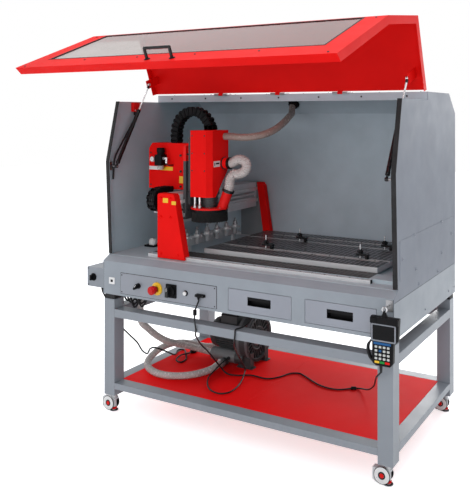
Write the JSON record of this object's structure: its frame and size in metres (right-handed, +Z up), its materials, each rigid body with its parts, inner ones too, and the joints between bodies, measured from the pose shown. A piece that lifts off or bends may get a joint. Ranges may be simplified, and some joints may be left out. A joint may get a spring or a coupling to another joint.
{
  "type": "benchtop cnc milling machine",
  "caption": "Enclosed gantry milling machine on a wheeled tube stand, with a propped-open glazed lid, drawers, a control panel, a wired handset and a blower below.",
  "frame": {"origin": "on the floor, under the middle of the machine's whole outline with its lid open; the centre of the stand is 47 mm to the right of it and 248 mm behind it", "axes": "+X to the operator's right along the long side, +Y away from the operator to the rear wall, +Z up"},
  "size_m": [1.691, 1.3271, 1.8627],
  "materials": {
    "grey_paint": "fine-textured satin grey powder coat",
    "grey_sheet": "satin grey powder coat",
    "red_paint": "smooth gloss red enamel",
    "red_shelf": "satin red coat",
    "aluminium": "milled aluminium",
    "ground_steel": "ground steel rails and screws",
    "bright_steel": "bright plated steel",
    "table_black": "black anodised plate",
    "black_plastic": "fine-grained black plastic",
    "black_metal": "satin black coat",
    "white_plastic": "smooth white plastic",
    "red_plastic": "smooth red plastic",
    "black_rubber": "black rubber",
    "bristle": "dense nylon bristles",
    "cast_grey": "dark painted casting",
    "hose_clear": "ribbed smoky hose",
    "hose_pink": "ribbed translucent hose",
    "hose_brown": "ribbed translucent hose",
    "cable_black": "black cable sheath",
    "window_clear": "clear acrylic pane",
    "nylon_grey": "dark nylon"
  },
  "bodies": {
    "machine": {"stand_posts": "grey_paint", "stand_rails": "grey_paint", "stand_shelf": "red_shelf", "rubber_pads_and_trims": "black_rubber", "base_tray": "grey_sheet", "side_panels": "grey_sheet", "rear_shell": "grey_sheet", "deck_plate": "aluminium", "x_rails": "ground_steel", "worktable": "table_black", "table_clamps": "black_metal", "tool_rack": "white_plastic", "tool_holders": "bright_steel", "control_panel": "grey_sheet", "side_switch_box": "grey_paint", "brackets": "bright_steel", "sensors": "red_plastic", "blower": "cast_grey", "handset": "black_plastic", "vacuum_hose": "hose_clear", "mains_cord": "cable_black", "mains_plug": "black_plastic", "stand_cables": "cable_black", "spindle_hose": "hose_brown"},
    "lid": {"lid_shell": "red_paint", "lid_window": "window_clear", "lid_handle": "black_metal"},
    "left_strut_barrel": {"left_strut_cylinder": "black_metal"},
    "right_strut_barrel": {"right_strut_cylinder": "black_metal"},
    "left_strut_piston": {"left_strut_rod": "bright_steel"},
    "right_strut_piston": {"right_strut_rod": "bright_steel"},
    "left_drawer_box": {"left_drawer": "grey_sheet"},
    "right_drawer_box": {"right_drawer": "grey_sheet"},
    "gantry": {"gantry_uprights": "red_paint", "gantry_beam": "grey_paint", "y_cable_chain": "black_plastic"},
    "ball_screw": {"y_ball_screw": "ground_steel"},
    "carriage": {"carriage_cover": "red_paint", "carriage_plate": "aluminium", "air_regulator": "black_plastic", "z_cable_chain": "black_plastic"},
    "spindle_head": {"spindle_cover": "red_paint", "spindle_motor": "black_metal", "dust_shoe": "red_plastic", "dust_brush": "bristle", "dust_hose": "hose_pink"},
    "spindle_shaft": {"spindle_nose": "bright_steel"},
    "emergency_stop": {"estop_button": "red_plastic"},
    "selector": {"mode_selector": "black_plastic"},
    "main_switch": {"main_switch_knob": "black_plastic"},
    "start": {"start_button": "white_plastic"},
    "side_switch": {"side_switch_knob": "black_plastic"},
    "swivel_fl": {"caster_swivel_fl": "white_plastic"},
    "wheel_fl": {"caster_wheel_fl": "nylon_grey"},
    "swivel_fr": {"caster_swivel_fr": "white_plastic"},
    "wheel_fr": {"caster_wheel_fr": "nylon_grey"},
    "swivel_rl": {"caster_swivel_rl": "white_plastic"},
    "wheel_rl": {"caster_wheel_rl": "nylon_grey"},
    "swivel_rr": {"caster_swivel_rr": "white_plastic"},
    "wheel_rr": {"caster_wheel_rr": "nylon_grey"}
  },
  "joints": [
    {"name": "lid_hinge", "type": "hinge", "parent": "machine", "child": "lid", "pos_m": [0.047, 0.23, 1.546], "axis": [1, 0, 0], "range_deg": [0, 70]},
    {"name": "left_strut_swing", "type": "hinge", "parent": "machine", "child": "left_strut_barrel", "pos_m": [-0.661, -0.123, 1.192], "axis": [1, 0, 0], "range_deg": [-15, 0.1]},
    {"name": "left_strut_stroke", "type": "slide", "parent": "left_strut_barrel", "child": "left_strut_piston", "axis": [0, 0.5007, 0.8656], "range_m": [-0.1005, 0.0005]},
    {"name": "right_strut_swing", "type": "hinge", "parent": "machine", "child": "right_strut_barrel", "pos_m": [0.755, -0.123, 1.192], "axis": [1, 0, 0], "range_deg": [-15, 0.1]},
    {"name": "right_strut_stroke", "type": "slide", "parent": "right_strut_barrel", "child": "right_strut_piston", "axis": [0, 0.5007, 0.8656], "range_m": [-0.1005, 0.0005]},
    {"name": "left_drawer_slide", "type": "slide", "parent": "machine", "child": "left_drawer_box", "axis": [0, -1, 0], "range_m": [0, 0.28]},
    {"name": "right_drawer_slide", "type": "slide", "parent": "machine", "child": "right_drawer_box", "axis": [0, -1, 0], "range_m": [0, 0.28]},
    {"name": "gantry_slide", "type": "slide", "parent": "machine", "child": "gantry", "axis": [1, 0, 0], "range_m": [0, 0.79], "deforming": ["spindle_hose"]},
    {"name": "carriage_slide", "type": "slide", "parent": "gantry", "child": "carriage", "axis": [0, 1, 0], "range_m": [0, 0.49], "deforming": ["y_cable_chain"]},
    {"name": "ball_screw_turn", "type": "hinge", "parent": "gantry", "child": "ball_screw", "pos_m": [-0.338, 0.248, 1], "axis": [0, 1, 0], "range_deg": [-20, 8840]},
    {"name": "spindle_lift", "type": "slide", "parent": "carriage", "child": "spindle_head", "axis": [0, 0, 1], "range_m": [-0.12, 0], "deforming": ["z_cable_chain"]},
    {"name": "spindle_turn", "type": "hinge", "parent": "spindle_head", "child": "spindle_shaft", "pos_m": [-0.218, 0.038, 0.96], "axis": [0, 0, 1], "continuous": true},
    {"name": "emergency_stop_push", "type": "slide", "parent": "machine", "child": "emergency_stop", "axis": [0, 1, 0], "range_m": [0, 0.004], "stiffness_N_per_m": 600},
    {"name": "start_push", "type": "slide", "parent": "machine", "child": "start", "axis": [0, 1, 0], "range_m": [0, 0.003], "stiffness_N_per_m": 400},
    {"name": "selector_turn", "type": "hinge", "parent": "machine", "child": "selector", "pos_m": [-0.481, -0.162, 0.637], "axis": [0, 1, 0], "range_deg": [-70, 0]},
    {"name": "main_switch_turn", "type": "hinge", "parent": "machine", "child": "main_switch", "pos_m": [-0.284, -0.162, 0.637], "axis": [0, 1, 0], "range_deg": [0, 90]},
    {"name": "side_switch_turn", "type": "hinge", "parent": "machine", "child": "side_switch", "pos_m": [-0.803, -0.132, 0.637], "axis": [0, 1, 0], "range_deg": [0, 90]},
    {"name": "front_left_swivel", "type": "hinge", "parent": "machine", "child": "swivel_fl", "pos_m": [-0.6705, -0.1275, 0.06], "axis": [0, 0, 1], "continuous": true},
    {"name": "front_left_wheel", "type": "hinge", "parent": "swivel_fl", "child": "wheel_fl", "pos_m": [-0.7085, -0.1275, 0.027], "axis": [0, 1, 0], "continuous": true},
    {"name": "front_right_swivel", "type": "hinge", "parent": "machine", "child": "swivel_fr", "pos_m": [0.7645, -0.1275, 0.06], "axis": [0, 0, 1], "continuous": true},
    {"name": "front_right_wheel", "type": "hinge", "parent": "swivel_fr", "child": "wheel_fr", "pos_m": [0.7265, -0.1275, 0.027], "axis": [0, 1, 0], "continuous": true},
    {"name": "rear_left_swivel", "type": "hinge", "parent": "machine", "child": "swivel_rl", "pos_m": [-0.6705, 0.6235, 0.06], "axis": [0, 0, 1], "continuous": true},
    {"name": "rear_left_wheel", "type": "hinge", "parent": "swivel_rl", "child": "wheel_rl", "pos_m": [-0.7085, 0.6235, 0.027], "axis": [0, 1, 0], "continuous": true},
    {"name": "rear_right_swivel", "type": "hinge", "parent": "machine", "child": "swivel_rr", "pos_m": [0.7645, 0.6235, 0.06], "axis": [0, 0, 1], "continuous": true},
    {"name": "rear_right_wheel", "type": "hinge", "parent": "swivel_rr", "child": "wheel_rr", "pos_m": [0.7265, 0.6235, 0.027], "axis": [0, 1, 0], "continuous": true}
  ],
  "couplings": [
    {"joint": "left_strut_swing", "follows": "lid_hinge", "ratio": -0.212},
    {"joint": "right_strut_swing", "follows": "lid_hinge", "ratio": -0.212},
    {"joint": "left_strut_stroke", "follows": "lid_hinge", "m_per_rad": -0.08194},
    {"joint": "right_strut_stroke", "follows": "lid_hinge", "m_per_rad": -0.08194},
    {"joint": "ball_screw_turn", "follows": "carriage_slide", "rad_per_m": 314.16}
  ]
}
